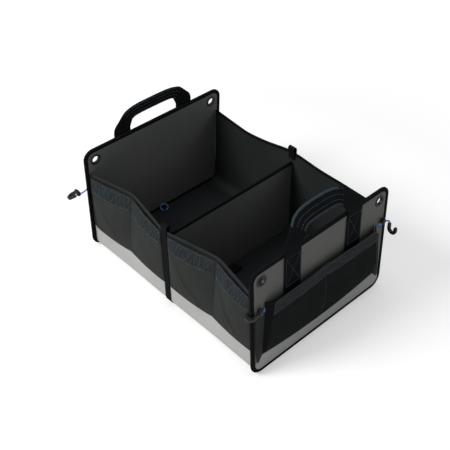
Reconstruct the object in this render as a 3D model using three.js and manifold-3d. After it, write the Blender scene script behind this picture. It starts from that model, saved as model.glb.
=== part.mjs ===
// Collapsible two-compartment storage box for a car boot: stiff end panels, folding cloth side
// walls with pockets, a hung divider, hinged floor boards, webbing handles and elastic cords with
// locks and hooks. Millimetres, +Z up, length along X, origin at the bottom centre.
import * as THREE from 'three'
import { mergeVertices } from 'three/addons/utils/BufferGeometryUtils.js'
import Module from 'manifold-3d'

const wasm = await Module()
wasm.setup()

// Overall sizes
const boxLength = 600
const boxWidth = 440
const panelHeight = 305
const wallHeight = 238
const panelLean = 0.04
const fit = 0.3

// End panels: a board between two cloths, bound all round, with an eyelet in each top corner
const boardThickness = 2.4
const coverThickness = 0.8
const panelTopRadius = 26
const panelBottomRadius = 30
const bindingReach = 10
const bindingThickness = 0.8
const eyeletInset = 32
const eyeletBore = 9.5
const eyeletFlange = 15
const eyeletLip = 1.4

// Side walls, folded inwards at the quarter lines, and the base cloth below them
const wallInset = 10
const wallThickness = 1.4
const baseThickness = 1.2
const baseRadius = 24
const baseTop = 72
const creaseDepth = 26
const creaseSoftness = 14
const creaseFlat = 14
const wallStations = 24
const wallBindingReach = 9
const wallBindingThickness = 1

// Pockets on the side walls and the end panels
const pocketThickness = 1
const pocketBottom = 64
const sidePocketTop = 227
const sidePocketBulge = 13
const sidePocketClosing = 0.3
const pocketFootRise = 6
const endPocketTop = 209
const endPocketBulge = 14
const endPocketDip = 0.3
const endPocketHalfWidth = 184
const endPocketTaper = 18
const gussetFoot = 4
const gussetSpread = 10
const endStripTop = 76
const stripThickness = 0.8

// Webbing
const handleSpacing = 98
const handleWidth = 50
const handleThickness = 2.2
const handleEnd = 192
const gripRise = 50
const gripWidth = 31
const gripThickness = 6
const frontHandleLean = 34
const frontHandleSlump = 10
const strapWidth = 20
const strapThickness = 1.6
const strapEase = 1.3
const strapLoopRise = 14
const strapLoopBulge = 4

// Divider and floor boards
const dividerThickness = 4
const dividerHeight = 220
const dividerSideGap = 3.5
const dividerBindingReach = 8
const dividerCornerExtra = 5
const floorBoardSideGap = 2.5
const floorBoardThickness = 3
const floorBoardEndGap = 4
const loopDiameter = 3
const tabWidth = 26
const tabLength = 30

// Elastic cords, locks and hooks
const cordDiameter = 4
const lockRadius = 5.5
const lockHeight = 15
const plungerRadius = 3.6
const plungerRise = 5
const plungerDepth = 8
const plungerTravel = 2
const lockBoreHeight = 3.6 - lockHeight / 2
const hookThickness = 6
const hookArm = 7
const hookMouth = 11
const barrelRadius = 4.4
const barrelLength = 12
const barrelBore = 9

const materials = {
  blackCloth: { color: 0x1b1c1e, roughness: 0.8, metalness: 0 },
  lining: { color: 0x2c2d2e, roughness: 0.75, metalness: 0 },
  silverCloth: { color: 0xd4d5d0, roughness: 0.6, metalness: 0 },
  binding: { color: 0x111214, roughness: 0.85, metalness: 0 },
  board: { color: 0x3a3a3c, roughness: 0.7, metalness: 0 },
  webbing: { color: 0x15171a, roughness: 0.7, metalness: 0 },
  cord: { color: 0x3f7fc4, roughness: 0.6, metalness: 0 },
  plastic: { color: 0x0d0e10, roughness: 0.4, metalness: 0 },
}

const object = new THREE.Group()
const frontEnd = new THREE.Group()
const rearEnd = new THREE.Group()
const rearTurn = new THREE.Group()
rearTurn.rotation.z = Math.PI
rearTurn.add(rearEnd)
object.add(frontEnd, rearTurn)

function place(parent, name, geometry, finish) {
  const mesh = new THREE.Mesh(geometry, new THREE.MeshStandardMaterial(materials[finish]))
  mesh.name = name
  parent.add(mesh)
  return mesh
}

// Welds a geometry into the closed mesh that a boolean needs.
function solid(geometry) {
  const plain = geometry.clone()
  plain.deleteAttribute('normal')
  plain.deleteAttribute('uv')
  const welded = mergeVertices(plain, 1e-4)
  const mesh = new wasm.Mesh({
    numProp: 3,
    vertProperties: new Float32Array(welded.attributes.position.array),
    triVerts: new Uint32Array(welded.index.array),
  })
  return new wasm.Manifold(mesh)
}

function fromSolid(body) {
  const mesh = body.getMesh()
  const geometry = new THREE.BufferGeometry()
  geometry.setAttribute('position', new THREE.BufferAttribute(mesh.vertProperties, 3))
  geometry.setIndex(new THREE.BufferAttribute(mesh.triVerts, 1))
  return geometry
}

function enclosedVolume(points, faces) {
  let sum = 0
  for (let i = 0; i < faces.length; i += 3) {
    const [a, b, c] = [points[faces[i]], points[faces[i + 1]], points[faces[i + 2]]]
    sum += a.dot(b.clone().cross(c))
  }
  return sum
}

// A closed skin between two grids of points, rows by columns, with its four rims filled.
function skin(outer, inner) {
  const rows = outer.length
  const columns = outer[0].length
  const points = [...outer.flat(), ...inner.flat()]
  const faces = []
  const out = (i, j) => i * columns + j
  const inn = (i, j) => rows * columns + i * columns + j
  const quad = (a, b, c, d) => faces.push(a, b, c, a, c, d)
  for (let i = 0; i < rows - 1; i++) {
    for (let j = 0; j < columns - 1; j++) {
      quad(out(i, j), out(i + 1, j), out(i + 1, j + 1), out(i, j + 1))
      quad(inn(i, j), inn(i, j + 1), inn(i + 1, j + 1), inn(i + 1, j))
    }
    quad(out(i, 0), inn(i, 0), inn(i + 1, 0), out(i + 1, 0))
    const last = columns - 1
    quad(out(i, last), out(i + 1, last), inn(i + 1, last), inn(i, last))
  }
  for (let j = 0; j < columns - 1; j++) {
    quad(out(0, j), out(0, j + 1), inn(0, j + 1), inn(0, j))
    const last = rows - 1
    quad(out(last, j), inn(last, j), inn(last, j + 1), out(last, j + 1))
  }
  if (enclosedVolume(points, faces) < 0) faces.reverse()
  const geometry = new THREE.BufferGeometry().setFromPoints(points)
  geometry.setIndex(faces)
  return geometry
}

function steps(from, to, count) {
  return Array.from({ length: count + 1 }, (_, i) => from + ((to - from) * i) / count)
}

// Offsets a line of 2D points sideways with mitred corners, to its left for a positive distance.
function offsetLine(line, distance) {
  return line.map((point, i) => {
    const before = line[i - 1] ?? point.clone().multiplyScalar(2).sub(line[i + 1])
    const after = line[i + 1] ?? point.clone().multiplyScalar(2).sub(line[i - 1])
    const arriving = point.clone().sub(before).normalize()
    const leaving = after.clone().sub(point).normalize()
    const along = arriving.clone().add(leaving).normalize()
    const reach = distance / along.dot(arriving)
    return new THREE.Vector2(point.x - along.y * reach, point.y + along.x * reach)
  })
}

// The wave of the side walls: 0 near the ends and the middle, 1 at the quarter lines.
function foldShare(x) {
  const quarter = boxLength / 4
  const away = Math.sqrt((Math.abs(x) - quarter) ** 2 + creaseSoftness ** 2) - creaseSoftness
  return Math.max(0, 1 - away / (quarter - creaseSoftness - creaseFlat))
}

function crease(x, z) {
  return creaseDepth * foldShare(x) * Math.min(1, Math.max(0, z / wallHeight))
}

// Half thicknesses and faces of the end panels, in the panel's own frame with +X outwards
const coverInside = boardThickness / 2 + fit
const panelHalf = coverInside + coverThickness
const bindingHalf = panelHalf + fit + bindingThickness
const panelStand = boxLength / 2 - bindingHalf
const panelLift = bindingHalf * Math.sin(panelLean) + fit / 2

// Where a piece inside the box has to stop short of the leaning end panel at height z.
function insideEnd(z) {
  return panelStand - bindingHalf / Math.cos(panelLean) - Math.tan(panelLean) * z - fit
}

function panelOutline(inset) {
  const halfWidth = boxWidth / 2 - inset
  const top = panelHeight - inset
  const upper = Math.max(panelTopRadius - inset, 2)
  const lower = Math.max(panelBottomRadius - inset, 2)
  const shape = new THREE.Shape()
  shape.moveTo(-halfWidth + lower, inset)
  shape.lineTo(halfWidth - lower, inset)
  shape.absarc(halfWidth - lower, inset + lower, lower, -Math.PI / 2, 0)
  shape.lineTo(halfWidth, top - upper)
  shape.absarc(halfWidth - upper, top - upper, upper, 0, Math.PI / 2)
  shape.lineTo(-halfWidth + upper, top)
  shape.absarc(-halfWidth + upper, top - upper, upper, Math.PI / 2, Math.PI)
  shape.lineTo(-halfWidth, inset + lower)
  shape.absarc(-halfWidth + lower, inset + lower, lower, Math.PI, Math.PI * 1.5)
  return shape
}

function roundHole(y, z, radius) {
  const hole = new THREE.Path()
  hole.absarc(y, z, radius, 0, Math.PI)
  hole.absarc(y, z, radius, Math.PI, Math.PI * 2)
  return hole
}

// Extrudes an outline drawn in Y and Z along X, from one place to another.
function plate(shape, from, to, curveSegments = 4) {
  const geometry = new THREE.ExtrudeGeometry(shape, { depth: to - from, bevelEnabled: false, curveSegments })
  const turn = new THREE.Matrix4().makeBasis(
    new THREE.Vector3(0, 1, 0), new THREE.Vector3(0, 0, 1), new THREE.Vector3(1, 0, 0))
  return geometry.applyMatrix4(turn).translate(from, 0, 0)
}

const panelEdge = bindingThickness + fit
const eyeletY = boxWidth / 2 - eyeletInset
const eyeletZ = panelHeight - eyeletInset
const eyeletBarrel = eyeletBore + 2

function panelLayer(inset, from, to) {
  const shape = panelOutline(inset)
  shape.holes.push(roundHole(-eyeletY, eyeletZ, eyeletBarrel + fit))
  shape.holes.push(roundHole(eyeletY, eyeletZ, eyeletBarrel + fit))
  return plate(shape, from, to)
}

function panelBinding() {
  const rim = panelOutline(0)
  rim.holes.push(panelOutline(bindingReach))
  const channel = plate(panelOutline(panelEdge - fit), -panelHalf - fit, panelHalf + fit)
  return fromSolid(solid(plate(rim, -bindingHalf, bindingHalf)).subtract(solid(channel)))
}

// A rolled eyelet: a barrel through the panel with a domed flange on each face.
function eyelet() {
  const face = panelHalf + fit
  const profile = [
    [eyeletBore, -face - eyeletLip * 0.6],
    [eyeletBore + 1.2, -face - eyeletLip],
    [eyeletFlange - 2, -face - eyeletLip],
    [eyeletFlange, -face],
    [eyeletBarrel, -face],
    [eyeletBarrel, face],
    [eyeletFlange, face],
    [eyeletFlange - 2, face + eyeletLip],
    [eyeletBore + 1.2, face + eyeletLip],
    [eyeletBore, face + eyeletLip * 0.6],
  ].map(([radius, height]) => new THREE.Vector2(radius, height))
  profile.push(profile[0].clone())
  return new THREE.LatheGeometry(profile, 20).rotateZ(-Math.PI / 2)
}

// The handle is one length of webbing: up the outside of the panel, over in a loop, and down.
function handle(lean, slump) {
  const top = panelHeight
  const half = handleWidth / 2
  const grip = gripWidth / 2
  const leg = [
    { y: handleSpacing, z: handleEnd, half, thickness: handleThickness },
    { y: handleSpacing, z: top - 20, half, thickness: handleThickness },
    { y: handleSpacing, z: top + 9, half, thickness: handleThickness },
    { y: handleSpacing - 8 - slump * 0.6, z: top + gripRise * 0.46, half: half - 4, thickness: 3 },
    { y: handleSpacing - 20 - slump, z: top + gripRise * 0.8, half: grip + 2, thickness: gripThickness - 1 },
    { y: handleSpacing - 36 - slump, z: top + gripRise * 0.94, half: grip, thickness: gripThickness },
    { y: handleSpacing - 58 - slump, z: top + gripRise * 0.99, half: grip, thickness: gripThickness },
    { y: 0, z: top + gripRise, half: grip, thickness: gripThickness },
  ]
  const whole = [...leg.map((s) => ({ ...s, y: -s.y })), ...leg.slice(0, -1).toReversed()]
  const middle = bindingHalf + fit + handleThickness / 2
  const bendStart = top + 17
  const bend = (z) => -lean * Math.max(0, (z - bendStart) / (gripRise + grip - 17)) ** 1.3
  const face = (s, i, out) => {
    const before = whole[Math.max(i - 1, 0)]
    const after = whole[Math.min(i + 1, whole.length - 1)]
    const along = new THREE.Vector2(after.y - before.y, after.z - before.z).normalize()
    return [s.half, 0, -s.half].map((reach) => {
      const z = s.z + along.x * reach
      return new THREE.Vector3(middle + (out * s.thickness) / 2 + bend(z), s.y - along.y * reach, z)
    })
  }
  return skin(whole.map((s, i) => face(s, i, 1)), whole.map((s, i) => face(s, i, -1)))
}

// The pale strip along the foot of an end panel, inside its binding.
function endStrip() {
  const half = boxWidth / 2 - bindingReach - fit
  const foot = bindingReach + fit
  const corner = panelBottomRadius - foot
  const shape = new THREE.Shape()
  shape.moveTo(-half + corner, foot)
  shape.lineTo(half - corner, foot)
  shape.absarc(half - corner, foot + corner, corner, -Math.PI / 2, 0)
  shape.lineTo(endPocketHalfWidth + 5, endStripTop)
  shape.lineTo(-endPocketHalfWidth - 5, endStripTop)
  shape.lineTo(-half, foot + corner)
  shape.absarc(-half + corner, foot + corner, corner, Math.PI, Math.PI * 1.5)
  return plate(shape, panelHalf + fit, panelHalf + fit + stripThickness)
}

// The bellows pocket on an end panel: a face held off the panel by a gusset at each side, with a seam
// down its middle that draws it in a little.
function endPocket() {
  const low = panelHalf + fit + stripThickness + fit
  const rise = (v) => Math.sin((Math.PI / 2) * Math.min(1, v * 1.8))
  const halfAt = (v) => endPocketHalfWidth - endPocketTaper * v
  const gusset = [[1, 0], [0.6, 0.5], [0, 1]]
  const across = [
    ...gusset.map(([out, share]) => ({ u: -1, out: -out, share })),
    ...steps(-1, 1, 16).slice(1, -1).map((u) => ({ u, out: 0, share: 1 - endPocketDip * (1 - Math.abs(u)) ** 3 })),
    ...gusset.toReversed().map(([out, share]) => ({ u: 1, out, share })),
  ]
  const grid = (extra, inset) => across.map(({ u, out, share }) => steps(0, 1, 5).map((v) => {
    const z = pocketBottom + 2 + (endPocketTop - pocketBottom - 2) * v
    const y = u * (halfAt(v) - inset) + out * (gussetFoot + gussetSpread * v)
    return new THREE.Vector3(low + extra + endPocketBulge * share * rise(v), y, z)
  }))
  return skin(grid(pocketThickness, 0), grid(0, pocketThickness))
}

function buildEnd(group, name, handleLean, handleSlump) {
  group.position.set(panelStand, 0, panelLift)
  group.rotation.y = -panelLean
  const board = boardThickness / 2
  place(group, `${name}_panel_board`, panelLayer(panelEdge, -board, board), 'board')
  place(group, `${name}_panel_cover`, panelLayer(panelEdge, coverInside, panelHalf), 'blackCloth')
  place(group, `${name}_panel_lining`, panelLayer(panelEdge, -panelHalf, -coverInside), 'lining')
  place(group, `${name}_panel_binding`, panelBinding(), 'binding')
  place(group, `${name}_handle`, handle(handleLean, handleSlump), 'webbing')
  place(group, `${name}_base_strip`, endStrip(), 'silverCloth')
  place(group, `${name}_pockets`, endPocket(), 'blackCloth')
}

function addEyelets(group, name, nearSide) {
  for (const [sideName, side] of [['near', nearSide], ['far', -nearSide]]) {
    place(group, `${name}_${sideName}_eyelet`, eyelet(), 'plastic').position.set(0, side * eyeletY, eyeletZ)
  }
}

// A side's section: points on the line from the edge of the floor, round the corner and up.
function sideSection(depth, top, rise) {
  const outer = boxWidth / 2 - wallInset
  const radius = baseRadius - depth
  const line = []
  for (const angle of steps(0, Math.PI / 2, 4)) {
    const away = outer - baseRadius + radius * Math.sin(angle)
    line.push(new THREE.Vector2(away, baseRadius - radius * Math.cos(angle)))
  }
  for (const z of steps(baseRadius, top, rise).slice(1)) line.push(new THREE.Vector2(outer - depth, z))
  return line
}

// Rows of points along X for a piece whose section is a line in Y and Z.
function sideRows(section, side, stations) {
  return steps(-1, 1, stations).map((u) => section.map(({ x: away, y: z }) => {
    const x = u * insideEnd(z)
    return new THREE.Vector3(x, side * (away - crease(x, z)), z)
  }))
}

const wallDepth = baseThickness + 2 * fit

function wall(side) {
  const top = wallHeight - fit
  const outer = sideSection(wallDepth, top, 3)
  const inner = sideSection(wallDepth + wallThickness, top, 3)
  return skin(sideRows(outer, side, wallStations), sideRows(inner, side, wallStations))
}

function wallBinding(side) {
  const outer = boxWidth / 2 - wallInset - wallDepth + fit
  const inner = outer - fit - wallThickness - fit
  const low = wallHeight - wallBindingReach
  const roof = wallHeight + wallBindingThickness
  const line = (out, inn, high) => [[out, low], [out, high], [inn, high], [inn, low]]
    .map(([away, z]) => new THREE.Vector2(away, z))
  const shell = line(outer + wallBindingThickness, inner - wallBindingThickness, roof)
  const slot = line(outer, inner, wallHeight)
  return skin(sideRows(shell, side, wallStations), sideRows(slot, side, wallStations))
}

function baseCloth() {
  const far = (depth) => sideSection(depth, baseTop, 2)
  const rows = (depth) => {
    const near = sideRows(far(depth), -1, wallStations)
    const other = sideRows(far(depth), 1, wallStations)
    return near.map((row, i) => [...row.toReversed(), ...other[i]])
  }
  return skin(rows(0), rows(baseThickness))
}

// Where the cloth of a side pocket starts and ends along X
const pocketEnd = insideEnd(sidePocketTop) - 1
const pocketStart = strapWidth / 2 + 1.5

// One pocket cloth covers half a side and is sewn down along the fold, so it makes two pockets.
function sidePocket(side, end) {
  const quarter = boxLength / 4
  const base = boxWidth / 2 - wallInset + fit
  const grid = (extra) => steps(0, 2, 16).map((u) => steps(0, 1, 6).map((v) => {
    const x = u < 1 ? pocketStart + (quarter - pocketStart) * u : quarter + (pocketEnd - quarter) * (u - 1)
    const across = Math.abs(Math.sin(Math.PI * u)) ** 0.7
    const foot = pocketBottom + pocketFootRise * (1 - across)
    const z = foot + (sidePocketTop - foot) * v
    const closing = 1 - sidePocketClosing * Math.max(0, (v - 0.6) / 0.4)
    const up = Math.sin((Math.PI / 2) * Math.min(1, v * 1.9)) * closing
    return new THREE.Vector3(end * x, side * (base + extra - crease(x, z) + sidePocketBulge * across * up), z)
  }))
  return skin(grid(pocketThickness), grid(0))
}

// Webbing laid along a line in Y and Z, at the middle of the box.
function ribbon(line, thickness, width, side) {
  const edge = (points) => [-width / 2, width / 2].map((x) => {
    return points.map(({ x: away, y: z }) => new THREE.Vector3(x, side * away, z))
  })
  return skin(edge(offsetLine(line, thickness / 2)), edge(offsetLine(line, -thickness / 2)))
}

// The middle strap: from the divider's top corner, in a small loop over the wall's bound edge and
// under the base.
function middleStrap(side) {
  const half = strapThickness / 2
  const outside = boxWidth / 2 - wallInset + fit + half
  const wallFace = outside - half - fit - wallDepth - wallThickness
  const inside = wallFace - fit - wallBindingThickness - strapEase - half
  const crown = wallHeight + wallBindingThickness + fit + half
  const turn = baseRadius + fit + half
  const low = dividerHeight + bindingThickness + fit
  const middle = (inside + outside) / 2
  const line = [[inside, low], [inside, crown], [inside - strapLoopBulge, crown + strapLoopRise * 0.6],
    [middle - strapLoopBulge / 2, crown + strapLoopRise], [outside, crown + strapLoopRise * 0.6],
    [outside, baseRadius]].map(([away, z]) => new THREE.Vector2(away, z))
  for (const angle of steps(0, 1.15, 4).slice(1)) {
    const away = outside - turn + turn * Math.cos(angle)
    line.push(new THREE.Vector2(away, baseRadius - turn * Math.sin(angle)))
  }
  return ribbon(line.filter((point) => point.y > half + fit), strapThickness, strapWidth, side)
}

const dividerHalfWidth = boxWidth / 2 - wallInset - wallDepth - wallThickness - dividerSideGap

function dividerOutline(inset, top) {
  const half = dividerHalfWidth - inset
  const foot = baseThickness
  const corner = baseRadius + dividerCornerExtra
  const shape = new THREE.Shape()
  shape.moveTo(-half + corner, foot)
  shape.lineTo(half - corner, foot)
  shape.absarc(half - corner, foot + corner, corner, -Math.PI / 2, 0)
  shape.lineTo(half, top)
  shape.lineTo(-half, top)
  shape.lineTo(-half, foot + corner)
  shape.absarc(-half + corner, foot + corner, corner, Math.PI, Math.PI * 1.5)
  return shape
}

function dividerBinding() {
  const half = dividerThickness / 2
  const low = dividerHeight - dividerBindingReach
  const line = (reach, high) => [[-reach, low], [-reach, high], [reach, high], [reach, low]]
  const rows = (reach, high, width) => [-width, width].map((y) => {
    return line(reach, high).map(([x, z]) => new THREE.Vector3(x, y, z))
  })
  const shell = rows(half + fit + bindingThickness, dividerHeight + bindingThickness, dividerHalfWidth)
  return skin(shell, rows(half + fit, dividerHeight, dividerHalfWidth))
}

// Floor boards lie on the base cloth, one in each compartment.
const boardInnerEnd = dividerThickness / 2 + fit + bindingThickness + fit
const boardOuterEnd = insideEnd(0) - floorBoardEndGap

function floorBoard(from, to) {
  const creaseFace = boxWidth / 2 - wallInset - wallDepth - wallThickness - creaseDepth
  const half = creaseFace - wallBindingThickness - fit - floorBoardSideGap
  const corner = 6
  const shape = new THREE.Shape()
  shape.moveTo(from + corner, -half)
  shape.lineTo(to - corner, -half)
  shape.absarc(to - corner, -half + corner, corner, -Math.PI / 2, 0)
  shape.lineTo(to, half - corner)
  shape.absarc(to - corner, half - corner, corner, 0, Math.PI / 2)
  shape.lineTo(from + corner, half)
  shape.absarc(from + corner, half - corner, corner, Math.PI / 2, Math.PI)
  shape.lineTo(from, -half + corner)
  shape.absarc(from + corner, -half + corner, corner, Math.PI, Math.PI * 1.5)
  const extrusion = { depth: floorBoardThickness, bevelEnabled: false, curveSegments: 4 }
  return new THREE.ExtrudeGeometry(shape, extrusion).translate(0, 0, baseThickness)
}

function circleShape(radius, sides) {
  const shape = new THREE.Shape()
  for (let i = 0; i < sides; i++) {
    const angle = (i / sides) * Math.PI * 2
    const [x, y] = [radius * Math.cos(angle), radius * Math.sin(angle)]
    if (i === 0) shape.moveTo(x, y)
    else shape.lineTo(x, y)
  }
  return shape
}

function tube(points, diameter, count) {
  const path = new THREE.CatmullRomCurve3(points.map((p) => new THREE.Vector3(...p)))
  const extrusion = { steps: count, extrudePath: path, bevelEnabled: false }
  return new THREE.ExtrudeGeometry(circleShape(diameter / 2, 8), extrusion)
}

// The cord loop that lifts the rear floor board, tilted up from the board near its outer edge.
function pullLoop() {
  const top = baseThickness + floorBoardThickness + fit
  const x = -boardOuterEnd + 9
  const ring = steps(-1.15, 4.3, 10).map((angle) => {
    const [across, up] = [10 * Math.cos(angle), 9 * Math.sin(angle)]
    return [x + across * 0.676 - up * 0.485, 7 + across * 0.737 + up * 0.444, top + 9 + up * 0.754]
  })
  const start = [x + 5, 5, top + 0.9]
  const end = [x + 1, 2, top + 0.9]
  return tube([start, ...ring, end], loopDiameter, 20)
}

// The webbing tab that lifts the front floor board, folded over near the divider.
function pullTab() {
  const top = baseThickness + floorBoardThickness + fit
  const x = boardInnerEnd + 4
  const line = [[x, top + 0.8], [x + tabLength * 0.6, top + 0.9], [x + tabLength, top + 5],
    [x + tabLength * 0.8, top + 10]].map(([a, z]) => new THREE.Vector2(a, z))
  const edge = (points) => [-tabWidth / 2 - 12, tabWidth / 2 - 12].map((y) => {
    return points.map(({ x: a, y: z }) => new THREE.Vector3(a, y, z))
  })
  return skin(edge(offsetLine(line, 0.8)), edge(offsetLine(line, -0.8)))
}

// A cord lock: a domed barrel with a cross bore for the cord and a well for its plunger.
function lockBody() {
  const half = lockHeight / 2
  const well = plungerRadius + fit
  const profile = [[0, -half], [lockRadius - 1.5, -half], [lockRadius, -half + 1.5], [lockRadius, half - 1],
    [lockRadius - 1, half], [well, half], [well, half - plungerDepth], [0, half - plungerDepth]]
    .map(([radius, height]) => new THREE.Vector2(radius, height))
  const body = new THREE.LatheGeometry(profile, 16).rotateX(Math.PI / 2)
  const boreRadius = cordDiameter / 2 + 2 * fit
  const bore = new THREE.CylinderGeometry(boreRadius, boreRadius, lockRadius * 3, 12)
  bore.rotateZ(Math.PI / 2).translate(0, 0, lockBoreHeight)
  return fromSolid(solid(body).subtract(solid(bore)))
}

function plunger() {
  const half = lockHeight / 2
  const foot = half - plungerDepth + plungerTravel + fit
  const profile = [[0, foot], [plungerRadius, foot], [plungerRadius, half + plungerRise - 1],
    [plungerRadius - 1, half + plungerRise], [0, half + plungerRise]]
    .map(([radius, height]) => new THREE.Vector2(radius, height))
  return new THREE.LatheGeometry(profile, 12).rotateX(Math.PI / 2)
}

// A moulded hook: a barrel that holds the cord's end, and a J-shaped arm in the XY plane.
function hook(reach, tip) {
  const centre = -hookMouth / 2 - hookArm / 2
  const shape = new THREE.Shape()
  const outerRadius = hookMouth / 2 + hookArm
  shape.moveTo(barrelLength - 3, -hookArm / 2)
  shape.lineTo(reach, -hookArm / 2)
  shape.absarc(reach, centre, hookMouth / 2, Math.PI / 2, -Math.PI / 2, true)
  shape.lineTo(reach - tip, centre - hookMouth / 2)
  shape.absarc(reach - tip, centre - hookMouth / 2 - hookArm / 2, hookArm / 2, Math.PI / 2, Math.PI * 1.5)
  shape.lineTo(reach, centre - outerRadius)
  shape.absarc(reach, centre, outerRadius, -Math.PI / 2, Math.PI / 2)
  shape.lineTo(barrelLength - 3, hookArm / 2)
  const extrusion = { depth: hookThickness, bevelEnabled: false, curveSegments: 4 }
  const arm = new THREE.ExtrudeGeometry(shape, extrusion).translate(0, 0, -hookThickness / 2)
  const profile = [[0, 0], [barrelRadius - 1, 0], [barrelRadius, 1], [barrelRadius, barrelLength - 1],
    [barrelRadius - 1, barrelLength], [0, barrelLength]]
    .map(([radius, height]) => new THREE.Vector2(radius, height))
  const barrel = new THREE.LatheGeometry(profile, 12).rotateZ(-Math.PI / 2)
  const bore = new THREE.CylinderGeometry(cordDiameter / 2 + fit, cordDiameter / 2 + fit, barrelBore * 2, 12)
  bore.rotateZ(Math.PI / 2)
  return fromSolid(solid(barrel).add(solid(arm)).subtract(solid(bore)))
}

// Turns a piece so that its +X runs along a direction and its +Z as near as can be to another.
function aim(mesh, at, along, up) {
  const x = along.clone().normalize()
  const y = up.clone().cross(x).normalize()
  mesh.quaternion.setFromRotationMatrix(new THREE.Matrix4().makeBasis(x, y, x.clone().cross(y)))
  mesh.position.copy(at)
}

// An elastic cord with its lock and hook. The lock sits between two points of the cord's route.
function cordSet(name, route, lockAfter, lockShare, lockUp, hookUp, reach, tip) {
  const points = route.map((p) => new THREE.Vector3(...p))
  place(object, `${name}_cord`, tube(route, cordDiameter, 18), 'cord')
  const lockLine = points[lockAfter + 1].clone().sub(points[lockAfter])
  const lockAt = points[lockAfter].clone().addScaledVector(lockLine, lockShare)
  const lock = place(object, `${name}_cord_lock`, lockBody(), 'plastic')
  const button = place(object, `${name}_lock_plunger`, plunger(), 'plastic')
  for (const mesh of [lock, button]) {
    aim(mesh, lockAt, lockLine, lockUp)
    mesh.translateZ(-lockBoreHeight)
  }
  const [before, last] = points.slice(-2)
  const endLine = last.clone().sub(before).normalize()
  const end = place(object, `${name}_hook`, hook(reach, tip), 'plastic')
  aim(end, last.clone().addScaledVector(endLine, -barrelBore + fit), endLine, hookUp)
}

buildEnd(frontEnd, 'front', frontHandleLean, frontHandleSlump)
buildEnd(rearEnd, 'rear', 0, 0)
addEyelets(frontEnd, 'front', -1)
addEyelets(rearEnd, 'rear', 1)

place(object, 'base_cloth', baseCloth(), 'silverCloth')
for (const [name, side] of [['near', -1], ['far', 1]]) {
  place(object, `${name}_wall`, wall(side), 'lining')
  place(object, `${name}_wall_binding`, wallBinding(side), 'binding')
  place(object, `${name}_rear_pockets`, sidePocket(side, -1), 'blackCloth')
  place(object, `${name}_front_pockets`, sidePocket(side, 1), 'blackCloth')
  place(object, `${name}_middle_strap`, middleStrap(side), 'webbing')
}

place(object, 'divider_panel', plate(dividerOutline(0, dividerHeight - fit), -dividerThickness / 2,
  dividerThickness / 2), 'lining')
place(object, 'divider_binding', dividerBinding(), 'binding')
place(object, 'rear_floor_board', floorBoard(-boardOuterEnd, -boardInnerEnd), 'board')
place(object, 'front_floor_board', floorBoard(boardInnerEnd, boardOuterEnd), 'board')
place(object, 'rear_pull_loop', pullLoop(), 'cord')
place(object, 'front_pull_tab', pullTab(), 'webbing')

// The cords leave the end panels beside the pockets. One hook is hooked round its panel's edge.
const upwards = new THREE.Vector3(0, 0, 1)
cordSet('front_near', [[292.1, -183.5, 194], [294.8, -184, 193.4], [296.9, -185.8, 191.2], [297.4, -189, 189.6],
  [297.4, -203, 188.6], [297.4, -212, 188]], 3, 0.52, upwards, upwards, 15.2, 1.5)
cordSet('front_far', [[291.8, 187, 207], [294.4, 187.6, 206.8], [296.8, 189.8, 206.5], [297.6, 193.5, 206.2],
  [297.6, 206, 205], [297.8, 216, 203.6], [298.2, 224, 198.5], [298.6, 227.5, 191], [298.8, 228, 182]],
3, 0.6, upwards, new THREE.Vector3(0, 1, 0), 16, 8)
cordSet('rear_near', [[-292.1, -187, 199], [-294.8, -187.8, 198.6], [-297.4, -190.5, 197], [-298.6, -196, 194],
  [-300.5, -207, 188.5], [-303.5, -216, 180.5], [-311, -224, 172], [-329, -239.5, 157.5]],
6, 0.3, upwards, upwards, 16, 8)
cordSet('rear_far', [[-291.8, 187, 207], [-294.4, 187.6, 206.8], [-296.8, 189.8, 206.5], [-297.6, 193.5, 206.2],
  [-297.6, 206, 205], [-297.8, 216, 203.6], [-298.2, 224, 198.5], [-298.6, 227.5, 191], [-298.8, 228, 182]],
3, 0.6, upwards, new THREE.Vector3(0, -1, 0), 16, 8)

export default object
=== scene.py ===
"""Looks of the collapsible two-compartment boot box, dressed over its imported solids."""

import math

import bmesh
import bpy
from mathutils import Matrix, Vector, noise


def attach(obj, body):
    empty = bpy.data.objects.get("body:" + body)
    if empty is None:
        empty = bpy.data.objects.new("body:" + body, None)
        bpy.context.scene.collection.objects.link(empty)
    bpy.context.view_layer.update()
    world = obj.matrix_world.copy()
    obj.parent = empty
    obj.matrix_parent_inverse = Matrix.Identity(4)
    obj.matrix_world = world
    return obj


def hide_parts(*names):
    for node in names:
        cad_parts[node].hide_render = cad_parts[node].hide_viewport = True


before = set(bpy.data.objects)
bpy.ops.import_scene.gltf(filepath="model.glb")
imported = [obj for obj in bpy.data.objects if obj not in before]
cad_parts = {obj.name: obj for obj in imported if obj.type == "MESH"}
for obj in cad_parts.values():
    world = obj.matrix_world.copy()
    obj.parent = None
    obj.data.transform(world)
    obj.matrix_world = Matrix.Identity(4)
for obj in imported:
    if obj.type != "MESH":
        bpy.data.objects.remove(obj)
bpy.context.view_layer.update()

MM = 0.001
FIT = 0.3

# End panels, as in the solids: their bound edge's half thickness, where they stand and how far they lean
PANEL_WIDTH = 440
PANEL_HEIGHT = 305
BINDING_HALF = 3.4
PANEL_STAND = 600 / 2 - BINDING_HALF
PANEL_LEAN = 0.04
PANEL_LIFT = BINDING_HALF * math.sin(PANEL_LEAN) + FIT / 2
TOP_RADIUS = 26
BOTTOM_RADIUS = 30
BINDING_REACH = 10

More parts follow.
